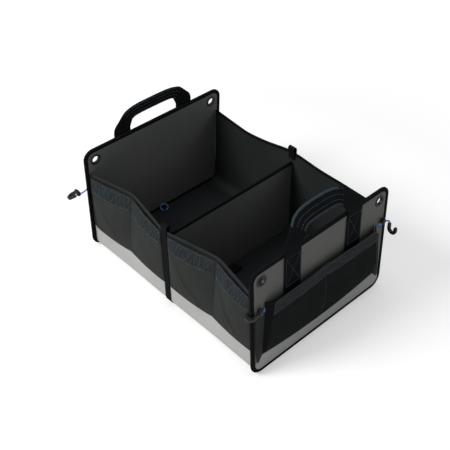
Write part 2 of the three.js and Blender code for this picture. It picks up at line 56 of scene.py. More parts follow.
# Side walls and base cloth, which rounds the floor's edge over the length of BASE_ARC
WALL_FACE = 210
WALL_TOP = 238
WALL_DEPTH = 1.8
WALL_CLOTH = 1.4
BASE_CLOTH = 1.2
BASE_RADIUS = 24
BASE_ARC = 37.7
BASE_TOP = 72
BASE_TUCK = 2
CREASE_DEPTH = 26
CREASE_SOFTNESS = 14
CREASE_FLAT = 14
QUARTER = 150
WALL_SLACK = 0.5
WALL_TAPE_HALF_THICKNESS = 2.2
WALL_TAPE_HALF_HEIGHT = 3.6
WALL_TAPE_DROP = 3

# The far wall hangs straighter than its solid: its creases, a bow at the front one, and its lift at the strap
FAR_REAR_CREASE = 12
FAR_FRONT_CREASE = -4
STRAP_LIFT = 11
STRAP_LIFT_REACH = 70

# Pockets
POCKET_CLOTH = 1
SIDE_POCKET_BOTTOM = 64
SIDE_POCKET_TOP = 230
SIDE_POCKET_BULGE = 13
SIDE_POCKET_CLOSING = 0.3
POCKET_FOOT_RISE = 6
HEM_CLOSING = 0.6
HEM_CLOSED = 30
SIDE_HEM = 40
HEM_PROUD = 0.4
HEM_CLOTH = 0.8
FRONT_SLACK = 1.7
REAR_SLACK = 0.8
GATHER_PITCH = 11
HEM_SWING = 17
HEM_MARGIN = 0.045
SEAM_SHIFT = 0.012
# Where each fanned fold ends across a side pocket, its height and its width as a share of the pocket's
FANNED_FOLDS = ((0.2, 3.4, 0.045), (0.42, 3.4, 0.06), (0.72, 3, 0.08))
END_POCKET_BOTTOM = 66
END_POCKET_TOP = 209
END_POCKET_BULGE = 14
END_POCKET_DIP = 0.3
END_POCKET_SAG = 13
END_POCKET_HALF_WIDTH = 184
END_POCKET_TAPER = 18
END_POCKET_FLARE = 3
END_POCKET_DROP = 12
END_POCKET_BASE = 3.7
GUSSET_SHARE = 0.12
END_POCKET_SPAN = 1 + GUSSET_SHARE
END_HEM = 36
END_HEM_WAVE = 13
GUSSET_FOOT = 4
GUSSET_SPREAD = 10
GUSSET_PLEAT = 6.5
GUSSET_CLOTH = 0.6
FAR_GUSSET_TUCK = 14
WEB_FOOT = 34
WEB_FOOT_RISE = 26
WEB_TOP = 183
WEB_TOP_FALL = 9

# Webbing, divider and cords
HANDLE_SPACING = 98
HANDLE_WIDTH = 50
HANDLE_HALF_THICKNESS = 1.1
HANDLE_CURVE = 0.4
HANDLE_END = 192
HANDLE_SEAM_FOOT = 212
HANDLE_SEAM_TOP = 290
HANDLE_SEAM_HALF = 21.5
GRIP_RISE = 50
GRIP_HALF_WIDTH = 15.5
GRIP_HALF_THICKNESS = 3
GRIP_ROWS = (-0.86, -0.3, 0.3, 0.72, 0.8, 0.88)
GRIP_ROW_START = 0.345
GRIP_ROW_RUN = 0.31
GRIP_EDGE_START = 0.335
GRIP_EDGE_RUN = 0.295
GRIP_EDGE_REACH = 0.94
LEAN_START = 17
STRAP_WIDTH = 20
STRAP_HALF = 0.8
TAB_WIDTH = 26
TAB_ASIDE = 12
DIVIDER_HALF = 202.9
DIVIDER_TOP = 220
DIVIDER_TAPE_HALF_THICKNESS = 3.1
DIVIDER_TAPE_HALF_HEIGHT = 4.4
DIVIDER_TAPE_DROP = 3.6
CORD = 4
LOOP_CORD = 3

# Stitches: their length, the gap between them and the thread
STITCH = 5.5
STITCH_GAP = 1.6
THREAD = 0.8
SEAM_PROUD = 0.5

# A wave texture of scale 1 repeats every 0.314 m
WAVE_PITCH = 0.314


def linear(colour):
    """A colour written as an sRGB hex value, turned to the linear values that a shader takes."""
    parts = [int(colour[i : i + 2], 16) / 255 for i in (0, 2, 4)]
    return [*(c / 12.92 if c <= 0.04045 else ((c + 0.055) / 1.055) ** 2.4 for c in parts), 1]


# Camera


def aim_camera():
    """Puts the camera where the photograph was taken from."""
    azimuth, elevation, roll = (math.radians(a) for a in (47.5, 41.07, -0.45))
    back = Vector((
        math.sin(azimuth) * math.cos(elevation),
        -math.cos(azimuth) * math.cos(elevation),
        math.sin(elevation),
    ))
    level = Vector((math.cos(azimuth), math.sin(azimuth), 0))
    upright = back.cross(level)
    right = level * math.cos(roll) + upright * math.sin(roll)
    up = upright * math.cos(roll) - level * math.sin(roll)
    data = bpy.data.cameras.new("camera")
    data.lens = 66.33
    data.sensor_width = 36
    data.clip_end = 50
    camera = bpy.data.objects.new("camera", data)
    turn = Matrix((right, up, back)).transposed().to_4x4()
    at = Vector((-0.0376, 0.0104, 0.1)) + back * 2.087
    camera.matrix_world = Matrix.Translation(at) @ turn
    bpy.context.scene.collection.objects.link(camera)
    bpy.context.scene.camera = camera


aim_camera()


# Materials


def node(tree, kind, settings=None, **links):
    """Adds a node with its settings and its inputs, by name or as _0, _1: each a socket or a plain value."""
    made = tree.nodes.new(kind)
    for name, value in (settings or {}).items():
        setattr(made, name, value)
    for name, value in links.items():
        socket = made.inputs[int(name[1:]) if name[1:].isdigit() else name.replace("_", " ")]
        if isinstance(value, bpy.types.NodeSocket):
            tree.links.new(value, socket)
        else:
            socket.default_value = value
    return made


def blank(name, roughness, **sockets):
    """A new material with its shader, and the tree that its pattern goes into."""
    material = bpy.data.materials.new(name)
    material.use_nodes = True
    tree = material.node_tree
    tree.nodes.clear()
    shader = node(tree, "ShaderNodeBsdfPrincipled", None, Roughness=roughness, **sockets)
    out = node(tree, "ShaderNodeOutputMaterial")
    tree.links.new(shader.outputs[0], out.inputs["Surface"])
    return material, tree, shader


def mixed(tree, share, first, second):
    """Two colours mixed by a share."""
    mix = node(tree, "ShaderNodeMix", {"data_type": "RGBA"})
    tree.links.new(share, mix.inputs["Factor"])
    mix.inputs["A"].default_value = linear(first)
    mix.inputs["B"].default_value = linear(second)
    return mix.outputs["Result"]


def bands(tree, place, direction, pitch):
    """Waves across one direction, a pitch in millimetres apart."""
    settings = {"bands_direction": direction}
    wave = node(tree, "ShaderNodeTexWave", settings, Vector=place, Scale=WAVE_PITCH / (pitch * MM))
    return wave.outputs["Fac"]


def summed(tree, first, second):
    """Two values added."""
    return node(tree, "ShaderNodeMath", {"operation": "ADD"}, _0=first, _1=second).outputs[0]


def finished(tree, shader, tone, height, depth, strength):
    """Gives the shader its colour and a bump as deep as depth in millimetres."""
    tree.links.new(tone, shader.inputs["Base Color"])
    bump = node(tree, "ShaderNodeBump", None, Height=height, Distance=depth * MM, Strength=strength)
    tree.links.new(bump.outputs[0], shader.inputs["Normal"])


def woven(name, dark, light, yarn, roughness, depth, source, stains=6, shine=0.18):
    """A plain weave: crossing waves one yarn apart for the bump, and soft cloudy colour."""
    material, tree, shader = blank(name, roughness, Specular_IOR_Level=shine)
    place = node(tree, "ShaderNodeTexCoord").outputs[source]
    weave = summed(tree, bands(tree, place, "X", yarn), bands(tree, place, "Y", yarn))
    if source == "Object":
        weave = summed(tree, weave, bands(tree, place, "Z", yarn))
    clouds = node(tree, "ShaderNodeTexNoise", None, Vector=place, Scale=stains, Detail=4)
    finished(tree, shader, mixed(tree, clouds.outputs["Fac"], dark, light), weave, depth, 0.6)
    return material


def ribbed(name, dark, light, rib, roughness, depth, shine=0.08):
    """Woven tape: ribs across its length and a fine grain along it."""
    material, tree, shader = blank(name, roughness, Specular_IOR_Level=shine)
    place = node(tree, "ShaderNodeTexCoord").outputs["UV"]
    ribs = bands(tree, place, "X", rib)
    both = summed(tree, ribs, bands(tree, place, "Y", 2 * rib))
    finished(tree, shader, mixed(tree, ribs, dark, light), both, depth, 0.7)
    return material


def grained(name, dark, light, roughness, grain, depth):
    """Moulded plastic or spun thread: soft cloudy colour and a fine grain."""
    material, tree, shader = blank(name, roughness, IOR=1.5)
    place = node(tree, "ShaderNodeTexCoord").outputs["Object"]
    clouds = node(tree, "ShaderNodeTexNoise", None, Vector=place, Scale=40.0, Detail=3)
    pits = node(tree, "ShaderNodeTexNoise", None, Vector=place, Scale=1 / (grain * MM), Detail=2)
    tone = mixed(tree, clouds.outputs["Fac"], dark, light)
    finished(tree, shader, tone, pits.outputs["Fac"], depth, 0.4)
    return material


def braided(name, dark, light, plait):
    """The braided sheath of an elastic cord: diagonal plaits that show as light flecks."""
    material, tree, shader = blank(name, 0.6)
    place = node(tree, "ShaderNodeTexCoord").outputs["Object"]
    plaits = bands(tree, place, "DIAGONAL", plait)
    finished(tree, shader, mixed(tree, plaits, dark, light), plaits, 0.3, 0.8)
    return material


# 600-denier polyester, plain woven: near black, matt, with its yarns as a faint grid
black_cloth = woven("polyester 600D black", "151617", "1e2021", 1.6, 0.92, 0.25, "UV", 9, 0.08)
# The same cloth on the sides, painted lighter: painted light for the key lamp that falls on the sides more
# than on the ends
black_cloth_painted_lighter = woven("polyester 600D black painted lighter", "262826", "353735", 1.6, 0.78, 0.25, "UV", 12)
# Doubled cloth of the pockets' hems, painted darker than the side pockets' cloth as painted shade of its
# gathers
hem_cloth_painted_shade = woven("polyester 600D hem painted shade", "1c1f20", "2a2e2f", 1.6, 0.78, 0.25, "UV", 30)
# The same cloth on the flat end panels, a mid grey from its coating
grey_cloth = woven("polyester coated grey", "5e605d", "6d6f6c", 1.6, 0.62, 0.2, "Object", 5, 0.25)
# Coated lining cloth of the panels and the divider: smooth, mid grey, faintly greenish
lining_cloth = woven("polyester lining", "5a5d5b", "686b69", 1.4, 0.66, 0.15, "Object", 4)
# The darker lining of the walls
wall_lining = woven("polyester lining of the walls", "26292a", "323635", 1.4, 0.66, 0.2, "UV", 7)
# Silver-coated polyester: pale, slightly satin, the coating hides most of the weave
silver_cloth = woven("polyester silver coated", "abaca8", "c2c3bf", 1.6, 0.55, 0.15, "UV", 8, 0.3)
# The same cloth on the end panels' lower strips, a little darker: painted shade for the weaker light on the
# ends
silver_strip_painted_shade = woven("polyester silver coated strip painted shade", "949694", "a7a9a7", 1.6, 0.55, 0.15, "Object", 8, 0.3)
# Floor board covering: the black cloth glued flat on board
board_cloth = woven("polyester over board", "17191b", "222427", 1.6, 0.7, 0.15, "Object", 5)
# Grosgrain binding tape, ribbed across, and a greyer copy of it on the near wall, painted light where its
# outer side catches the light from above
binding_tape = ribbed("grosgrain binding", "0c0d0e", "161718", 1.4, 0.92, 0.25)
wall_tape = ribbed("grosgrain binding painted light", "242626", "393b3b", 1.4, 0.75, 0.25)
# Polypropylene webbing with its coarse ribs
webbing = ribbed("polypropylene webbing", "0d0e10", "181a1c", 2.4, 0.95, 0.5)
# Grey-blue tape along the grip of a handle
edge_tape = ribbed("polyester tape grey blue", "29343b", "3c4952", 1.4, 0.7, 0.2)
# Spun polyester sewing thread, grey blue
thread = grained("polyester thread grey blue", "2f3d46", "42535e", 0.6, 0.8, 0.1)
# Acetal, moulded black, satin
acetal = grained("acetal moulded black", "07080a", "0f1012", 0.45, 0.5, 0.05)
# Polyester braid over rubber strands, blue
elastic = braided("elastic cord braid", "1f4f8f", "6fa9e6", 2.2)
# Polypropylene board inside the end panels
board = grained("polypropylene board", "2a2b2d", "333436", 0.6, 1.0, 0.05)


# Pieces


def add(name, mesh, material, body="box"):
    """Turns a bmesh into a piece of the scene that rides on a body."""
    data = bpy.data.meshes.new(name)
    mesh.to_mesh(data)
    mesh.free()
    data.materials.append(material)
    data.shade_smooth()
    piece = bpy.data.objects.new(name, data)
    bpy.context.scene.collection.objects.link(piece)
    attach(piece, body)
    return piece


def spread(across, along, size, where):
    """A fine grid laid by where(u, v), both 0 to 1, in millimetres, with UVs in metres on the cloth."""
    mesh = bmesh.new()
    bmesh.ops.create_grid(mesh, x_segments=across, y_segments=along, size=0.5)
    layer = mesh.loops.layers.uv.new("cloth")
    for face in mesh.faces:
        for corner in face.loops:
            u, v = corner.vert.co.x + 0.5, corner.vert.co.y + 0.5
            corner[layer].uv = (u * size[0] * MM, v * size[1] * MM)
    for vert in mesh.verts:
        vert.co = Vector(where(vert.co.x + 0.5, vert.co.y + 0.5)) * MM
    return mesh


def cloth(name, across, along, size, where, thickness, material, body="box"):
    """A sheet of cloth with its real thickness."""
    piece = add(name, spread(across, along, size, where), material, body)
    layer = piece.modifiers.new("thickness", "SOLIDIFY")
    layer.thickness = thickness * MM
    layer.offset = 0
    return piece


def rolled(name, rings, sides, size, where, material, closed=False, body="box"):
    """A tape: where(t, a) gives the place for t along it and a round it, both 0 to 1."""
    mesh = spread(rings, sides, size, where)
    bmesh.ops.remove_doubles(mesh, verts=mesh.verts, dist=1e-6)
    if not closed:
        bmesh.ops.holes_fill(mesh, edges=mesh.edges, sides=0)
    bmesh.ops.recalc_face_normals(mesh, faces=mesh.faces)
    return add(name, mesh, material, body)


def dash(points, length, gap):
    """Cuts a line of points into stitches of one length with a gap between them."""
    stitches, current, used, sewing = [], [points[0]], 0.0, True
    for start, end in zip(points, points[1:]):
        left = (end - start).length
        at = start
        while left > 1e-9:
            want = (length if sewing else gap) - used
            step = min(want, left)
            at = at + (end - start).normalized() * step
            left -= step
            used += step
            if sewing:
                current.append(at)
            if used >= (length if sewing else gap) - 1e-9:
                if sewing:
                    stitches.append(current)
                sewing, used, current = not sewing, 0.0, [at]
    return stitches


def round_line(name, lines, diameter, resolution, material, body):
    """Round thread or cord along lines of points in millimetres, as one piece."""
    data = bpy.data.curves.new(name, "CURVE")
    data.dimensions = "3D"
    data.bevel_depth = diameter / 2 * MM
    data.bevel_resolution = resolution
    data.use_fill_caps = True
    for line in lines:
        spline = data.splines.new("POLY")
        spline.points.add(len(line) - 1)
        for point, at in zip(spline.points, line):
            point.co = (*(at * MM), 1)
    data.materials.append(material)
    piece = bpy.data.objects.new(name, data)
    bpy.context.scene.collection.objects.link(piece)
    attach(piece, body)
    return piece


def sewn(name, lines):
    """Rows of stitches along lines of points in millimetres, as one piece of thread."""
    stitches = []
    for line in lines:
        stitches += dash([Vector(p) for p in line], STITCH, STITCH_GAP)
    return round_line(name, stitches, THREAD, 1, thread, "box")


def along(count, place):
    """The points of place(t) for t from 0 to 1."""
    return [place(i / count) for i in range(count + 1)]


def through(a, b, c, d, t):
    """The place at share t from b to c on a smooth line through four stops."""
    return 0.5 * (2 * b + (c - a) * t + (2 * a - 5 * b + 4 * c - d) * t**2 + (3 * b - a - 3 * c + d) * t**3)


def rounded(a, half_width, half_thickness, power):
    """A flat tape's section with rounded edges: the place at share a round it."""
    angle = 2 * math.pi * a
    cos, sin = math.cos(angle), math.sin(angle)
    return (
        half_width * math.copysign(abs(cos) ** power, cos),
        half_thickness * math.copysign(abs(sin) ** power, sin),
    )


# The form of the box


def on_end(end, x, y, z):
    """A place in an end panel's own frame, +X outwards; end is 1 for the front and -1 for the rear."""
    away = PANEL_STAND + x * math.cos(PANEL_LEAN) - z * math.sin(PANEL_LEAN)
    return Vector((end * away, end * y, PANEL_LIFT + x * math.sin(PANEL_LEAN) + z * math.cos(PANEL_LEAN)))


def inside_end(z):
    """How far along X the inside of the leaning end panels is at height z."""
    return PANEL_STAND - BINDING_HALF / math.cos(PANEL_LEAN) - math.tan(PANEL_LEAN) * z - FIT


def fold_share(x):
    """The fold of the walls: 1 at the quarter lines and 0 near the middle and the ends."""
    away = math.hypot(abs(x) - QUARTER, CREASE_SOFTNESS) - CREASE_SOFTNESS
    return max(0, 1 - away / (QUARTER - CREASE_SOFTNESS - CREASE_FLAT))


def crease(x, z, side):
    """How far a wall folds inwards; the far wall is pulled nearly straight, most of all at the front."""
    if side < 0:
        depth = CREASE_DEPTH
    else:
        depth = FAR_REAR_CREASE if x < 0 else FAR_FRONT_CREASE
    return depth * fold_share(x) * min(1, max(0, z / WALL_TOP))


def strap_lift(x, z, side):
    """How far the far middle strap draws the wall's upper part up."""
    if side < 0:
        return 0
    return STRAP_LIFT * math.exp(-((x / STRAP_LIFT_REACH) ** 2)) * (max(0, z) / WALL_TOP) ** 4


def ripple(x, z, coarse, seed=0.0):
    """Soft irregular unevenness between -1 and 1."""
    return noise.noise(Vector((x / coarse, z / coarse, seed)))


# Cords, in the routes of the solids

FAR_ROUTE = (
    (291.8, 187, 207), (294.4, 187.6, 206.8), (296.8, 189.8, 206.5), (297.6, 193.5, 206.2),
    (297.6, 206, 205), (297.8, 216, 203.6), (298.2, 224, 198.5), (298.6, 227.5, 191), (298.8, 228, 182),
)
# The free length in metres and the route of each
CORDS = {
    "front_near": (0.0332, (
        (292.1, -183.5, 194), (294.8, -184, 193.4), (296.9, -185.8, 191.2), (297.4, -189, 189.6),
        (297.4, -203, 188.6), (297.4, -212, 188),
    )),
    "front_far": (0.0595, FAR_ROUTE),
    "rear_near": (0.08, (
        (-292.1, -187, 199), (-294.8, -187.8, 198.6), (-297.4, -190.5, 197), (-298.6, -196, 194),
        (-300.5, -207, 188.5), (-303.5, -216, 180.5), (-311, -224, 172), (-329, -239.5, 157.5),
    )),
    "rear_far": (0.0595, tuple((-x, y, z) for x, y, z in FAR_ROUTE)),
}
LOOP_ROUTE = (
    (-274.9, 5, 5.4), (-273.2, 6.4, 7.3), (-271.9, 10.8, 9.6), (-272.9, 14.1, 13.1), (-276, 15.4, 16.7),
    (-280.2, 14.2, 19.3), (-284.3, 11, 20.3), (-287.2, 6.6, 19.3), (-287.9, 2.3, 16.6), (-286.3, -0.6, 13),
    (-282.9, -1.3, 9.6), (-278.6, 0.4, 7.3), (-278.9, 2, 5.4),
)


def smoothed(route, parts):
    """Points on a smooth line through a route."""
    points = [Vector(p) for p in route]
    line = []
    for i in range(len(points) - 1):
        stops = points[max(i - 1, 0)], points[i], points[i + 1], points[min(i + 2, len(points) - 1)]
        line += [through(*stops, step / parts) for step in range(parts)]
    return [*line, points[-1]]


def cord_piece(name, route, diameter, node_name, body, parts=4):
    """A cord as one smooth line with its real diameter."""
    piece = round_line(name, [smoothed(route, parts)], diameter, 4, elastic, body)
    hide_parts(node_name)
    return piece


for name, (length, route) in CORDS.items():
    cord = cord_piece(f"{name}_elastic", route, CORD, f"{name}_cord", "box")
    [c * MM for c in route[0]]
loop = cord_piece("rear_board_loop", LOOP_ROUTE, LOOP_CORD, "rear_pull_loop", "rear_floor", parts=3)


# Walls and base cloth


def side_line(depth, top, s):
    """The line of a side in Y and Z from the floor's edge up, at share s of its length."""
    radius = BASE_RADIUS - depth
    arc = radius * math.pi / 2
    run = s * (arc + top - BASE_RADIUS)
    if run < arc:
        angle = run / radius
        return WALL_FACE - BASE_RADIUS + radius * math.sin(angle), BASE_RADIUS - radius * math.cos(angle)
    return WALL_FACE - depth, BASE_RADIUS + run - arc


def build_wall(name, side):
    """A folding side wall, with the slack that its cloth has between the creases."""
    depth = WALL_DEPTH + WALL_CLOTH / 2

    def where(u, v):
        away, z = side_line(depth, WALL_TOP - FIT, v)
        x = (2 * u - 1) * inside_end(z)
        slack = WALL_SLACK * ripple(x, z, 60, side) * min(1, (z / 60) ** 2) * (1 - abs(2 * u - 1) ** 8)
        return x, side * (away - crease(x, z, side) + slack), z + strap_lift(x, z, side)

    wall = cloth(f"{name}_wall_cloth", 144, 40, (606, 252), where, WALL_CLOTH, wall_lining)
    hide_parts(f"{name}_wall")


def build_base():
    """The pale base cloth: up one side, under the floor and up the other side."""
    depth = BASE_CLOTH / 2
    level = WALL_FACE - BASE_RADIUS
    flat = level / (level + BASE_ARC + BASE_TOP - BASE_RADIUS)

    def where(u, v):
        turn = 2 * v - 1
        side = -1 if turn < 0 else 1
        share = abs(turn)
        if share < flat:
            away, z = level * share / flat, depth
        else:
            away, z = side_line(depth, BASE_TOP, (share - flat) / (1 - flat))
        x = (2 * u - 1) * (inside_end(z) + BASE_TUCK)
        return x, side * (away - crease(x, z, side)), z

    sheet = cloth("base_sheet", 96, 96, (594, 544), where, BASE_CLOTH, wall_lining)
    sheet.data.materials.append(silver_cloth)
    sheet.modifiers[0].material_offset = sheet.modifiers[0].material_offset_rim = 1
    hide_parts("base_cloth")


def build_wall_binding(name, side):
    """The tape folded over a wall's top edge."""
    middle = WALL_FACE - WALL_DEPTH - WALL_CLOTH / 2

    def where(t, a):
        across, up = rounded(a, WALL_TAPE_HALF_THICKNESS, WALL_TAPE_HALF_HEIGHT, 0.5)
        z = WALL_TOP - WALL_TAPE_DROP + up
        x = (2 * t - 1) * inside_end(z)
        return x, side * (middle - crease(x, WALL_TOP, side) + across), z + strap_lift(x, WALL_TOP, side)

    # The near wall's tape is the greyer copy, painted light for the light from above on its outer side
    finish = wall_tape if side < 0 else binding_tape
    tape = rolled(f"{name}_wall_tape", 120, 16, (600, 26), where, finish)
    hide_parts(f"{name}_wall_binding")


for wall_name, wall_side in (("near", -1), ("far", 1)):
    build_wall(wall_name, wall_side)
    build_wall_binding(wall_name, wall_side)
build_base()


# Pockets on the sides

POCKET_START = STRAP_WIDTH / 2 + 1.5
POCKET_END = inside_end(SIDE_POCKET_TOP) - 1


def side_pocket_x(u):
    """Along X for u from 0 at the middle strap, 1 at the fold and 2 at the end panel."""
    if u < 1:
        return POCKET_START + (QUARTER - POCKET_START) * u
    return QUARTER + (POCKET_END - QUARTER) * (u - 1)


def swell(u):
    """How far a pocket stands out across its width: nothing at its seams."""
    return abs(math.sin(math.pi * u)) ** 0.7


def pocket_foot(u):
    """The pockets' lower edge, drawn up a little at the seams."""
    return SIDE_POCKET_BOTTOM + POCKET_FOOT_RISE * (1 - swell(u))


def fanned_folds(share, fall):
    """Soft folds that fan out from a pocket's upper corner; share is across it and fall down from the hem."""
    if not 0 < fall < 1:
        return 0
    out = 0
    for reach, height, width in FANNED_FOLDS:
        centre = 0.05 + (reach - 0.05) * fall
        fade = math.sin(math.pi * fall**0.8)
        out += height * fade * math.exp(-(((share - centre) / (width * (0.55 + fall))) ** 2))
    return out


def side_pocket_at(side, end, u, z, proud=0.0):
    """A place on the outer face of a side pocket, with its bulge, gathers and hanging folds."""
    x = side_pocket_x(u)
    foot = pocket_foot(u)
    rise = (z - foot) / (SIDE_POCKET_TOP - foot)
    closing = 1 - SIDE_POCKET_CLOSING * max(0, rise - 0.6) / 0.4
    closing *= 1 - HEM_CLOSING * max(0, min(1, (z - SIDE_POCKET_TOP + HEM_CLOSED) / HEM_CLOSED)) ** 1.5
    up = math.sin(math.pi / 2 * min(1, max(0, rise) * 1.9)) * closing
    across = swell(u)
    share = u % 1 if end == 1 else 1 - u % 1
    slack = FRONT_SLACK if end == 1 else REAR_SLACK
    hem_foot = SIDE_POCKET_TOP - SIDE_HEM
    folds = slack * fanned_folds(share, (hem_foot + 4 - z) / (hem_foot + 4 - foot)) * across
    folds += 1.2 * across * ripple(end * x + side * 40, z / 4, 18, end) * min(1, max(0, rise) * 3)
    hem = max(0, min(1, (z - hem_foot) / 6))
    gathers = 0.6 * hem * across * math.sin(2 * math.pi * x / GATHER_PITCH + 2.5 * ripple(x, z, 20, 3.0))
    out = WALL_FACE + FIT + POCKET_CLOTH - crease(end * x, z, side)
    out = out + SIDE_POCKET_BULGE * up * across + folds + gathers
    return Vector((end * x, side * (out + proud), z))


def build_side_pocket(side_name, side, end_name, end):
    """One pocket cloth for half a side, sewn down at the fold, with its gathered hem and stitches."""
    name = f"{side_name}_{end_name}"

    def where(u, v):
        foot = pocket_foot(2 * u)
        z = foot + (SIDE_POCKET_TOP - foot) * v
        return side_pocket_at(side, end, 2 * u, z, -POCKET_CLOTH / 2)

    # The pocket cloth is the black cloth painted lighter, as painted light on the lit sides
    pocket = cloth(
        f"{name}_pocket_cloth", 136, 64, (274, 163), where, POCKET_CLOTH, black_cloth_painted_lighter
    )
    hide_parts(f"{name}_pockets")
    low, high = SIDE_POCKET_TOP - SIDE_HEM, SIDE_POCKET_TOP - 0.5

    def hem_at(u, v):
        return side_pocket_at(side, end, 2 * u, low + (high - low) * v, HEM_PROUD)

    # The hem cloth is painted darker, as painted shade of its gathers
    hem = cloth(f"{name}_pocket_hem", 136, 16, (274, 40), hem_at, HEM_CLOTH, hem_cloth_painted_shade)

    def on_hem(start, stop, t, z):
        return side_pocket_at(side, end, start + (stop - start) * t, z, 1)

    def straight_row(start, stop, z):
        return along(44, lambda t: on_hem(start, stop, t, z))

    def winding_row(start, stop, seed):
        def place(t):
            swing = math.sin(2 * math.pi * (3.1 * t + seed + 0.3 * ripple(t * 90, 0, 30, seed + side)))
            z = (low + high) / 2 + HEM_SWING * swing + 4 * ripple(t * 90, 0, 12, seed)
            return on_hem(start, stop, t, min(max(z, low + 2), high - 1.5))

        return along(90, place)

    def upright_row(u):
        return along(16, lambda t: side_pocket_at(side, end, u, low + 2 + (high - 5 - low) * t, 1))

    def fold_seam(u):
        first = SIDE_POCKET_BOTTOM + 6
        run = low - SIDE_POCKET_BOTTOM - 8
        return along(40, lambda t: side_pocket_at(side, end, u, first + run * t, 0.4))

    lines = []
    for first in (0, 1):
        start, stop = first + HEM_MARGIN, first + (1 - HEM_MARGIN)
        lines += [straight_row(start, stop, z) for z in (low + 2, low + 4.5, high - 1.5)]
        lines += [winding_row(start, stop, seed) for seed in (0.1, 0.62, 0.33)]
        lines += [upright_row(start), upright_row(stop)]
    lines += [fold_seam(1 - SEAM_SHIFT), fold_seam(1 + SEAM_SHIFT)]
    stitches = sewn(f"{name}_pocket_stitches", lines)


for side_name, side in (("near", -1), ("far", 1)):
    for end_name, end in (("rear", -1), ("front", 1)):
        build_side_pocket(side_name, side, end_name, end)


# End panels


def outline(half_width, low, high, lower, upper, t):
    """A place on an end panel's rounded outline, t from 0 to 1 round it, with its direction in degrees."""
    corners = [
        (half_width - lower, low + lower, lower, -90), (half_width - upper, high - upper, upper, 0),
        (-half_width + upper, high - upper, upper, 90), (-half_width + lower, low + lower, lower, 180),
    ]
    places = []
    for y, z, radius, turn in corners:
        for step in range(11):
            angle = turn + 90 * step / 10
            across, up = math.cos(math.radians(angle)), math.sin(math.radians(angle))
            places.append(Vector((y + radius * across, z + radius * up, angle)))
    places.append(places[0] + Vector((0, 0, 360)))
    lengths = [(b.xy - a.xy).length for a, b in zip(places, places[1:])]
    run = t * sum(lengths)
    for a, b, length in zip(places, places[1:], lengths):
        if run <= length or b is places[-1]:
            return a.lerp(b, min(1, run / length)) if length else a
        run -= length
    return places[-1]


def build_panel_binding(end_name, end):
    """The tape folded round an end panel's edge."""
    reach = BINDING_REACH / 2
    low, high = reach, PANEL_HEIGHT - reach
    lower, upper = BOTTOM_RADIUS - reach, TOP_RADIUS - reach

    def where(t, a):
        at = outline(PANEL_WIDTH / 2 - reach, low, high, lower, upper, t)
        inwards, across = rounded(a, reach, BINDING_HALF, 0.42)
        turn = math.radians(at.z)
        return on_end(end, across, at.x + inwards * math.cos(turn), at.y + inwards * math.sin(turn))

    tape = rolled(
        f"{end_name}_edge_tape", 220, 16, (1400, 30), where, binding_tape, closed=True
    )
    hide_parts(f"{end_name}_panel_binding")


def end_pocket_foot(u):
    """The lower edge of an end pocket, which sags over the pale strip in its middle."""
    return END_POCKET_BOTTOM - END_POCKET_SAG * (1 - min(1, abs(u)) ** 2) - END_POCKET_DROP


def end_pocket_half(rise):
    """Half the width of an end pocket's face at share rise of its height."""
    return END_POCKET_HALF_WIDTH - END_POCKET_TAPER * rise + END_POCKET_FLARE * max(0, 0.25 - rise)


def end_pocket_at(end, u, z, proud=0.0):
    """A place on an end pocket: its face for u within 1 either way, and its side gussets beyond."""
    rise = (z - END_POCKET_BOTTOM) / (END_POCKET_TOP - END_POCKET_BOTTOM)
    side = math.copysign(1, u)
    gusset = max(0, abs(u) - 1) / GUSSET_SHARE
    face = min(1, abs(u))
    foot = end_pocket_foot(u)
    belly = max(0, z - foot) / (END_POCKET_TOP - foot)
    stand = END_POCKET_BULGE * math.sin(math.pi / 2 * min(1, belly * 2.6)) * (1 - gusset)
    stand *= 1 - END_POCKET_DIP * (1 - face) ** 3
    half = end_pocket_half(rise)
    y = side * (face * half + gusset * (GUSSET_FOOT + GUSSET_SPREAD * rise))
    pleats = 1.6 * gusset * (1 - gusset) * math.sin(2 * math.pi * (z + 14 * gusset) / GUSSET_PLEAT)
    loose = min(1, belly * 3) * (1 - face**12)
    folds = loose * (1.5 * ripple(y, z / 3, 30, end * 2.0) - 1.2 * math.exp(-((y / 7) ** 2)))
    return on_end(end, END_POCKET_BASE + POCKET_CLOTH + stand + folds + pleats + proud, y, z)


def build_end_pocket(end_name, end):
    """The bellows pocket on an end panel, with the many rows of stitches along its hem."""
    low, high = END_POCKET_TOP - END_HEM, END_POCKET_TOP

    def where(u, v):
        across = 2 * END_POCKET_SPAN * u - END_POCKET_SPAN
        foot = end_pocket_foot(across)
        return end_pocket_at(end, across, foot + (END_POCKET_TOP - foot) * v, -POCKET_CLOTH / 2)

    pocket = cloth(
        f"{end_name}_pocket_cloth", 190, 60, (410, 165), where, POCKET_CLOTH, black_cloth
    )
    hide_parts(f"{end_name}_pockets")

    def hem_at(u, v):
        return end_pocket_at(end, 2 * u - 1, low + (high - low) * v, HEM_PROUD)

    # The hem cloth carries painted shade, darker than the side pockets' cloth
    hem = cloth(f"{end_name}_pocket_hem", 150, 12, (350, 36), hem_at, HEM_CLOTH, hem_cloth_painted_shade)

    def row(start, stop, height):
        return along(70, lambda t: end_pocket_at(end, start + (stop - start) * t, height(t), 1))

    def bowed(z, lift):
        return lambda t: z + lift * math.sin(math.pi * t) ** 2

    def waved(t):
        return (low + high) / 2 + END_HEM_WAVE * math.cos(2 * math.pi * t)

    def upright_row(u):
        return along(16, lambda t: end_pocket_at(end, u, low + 2 + (high - low - 4) * t, 1))

    lines = []
    for start, stop in ((-0.985, -0.02), (0.02, 0.985)):
        for z, lift in ((low + 1.5, 0), (low + 4, 0), (high - 2, 0), (high - 5, -9), (low + 7, 9)):
            lines.append(row(start, stop, bowed(z, lift)))
        lines.append(row(start, stop, waved))
        lines += [upright_row(start), upright_row(stop)]
    seam_foot, seam_top = end_pocket_foot(0) + 4, low - 2
    seam_run = seam_top - seam_foot
    lines.append(along(30, lambda t: end_pocket_at(end, SEAM_SHIFT, seam_foot + seam_run * t, 0.3)))
    stitches = sewn(f"{end_name}_pocket_stitches", lines)


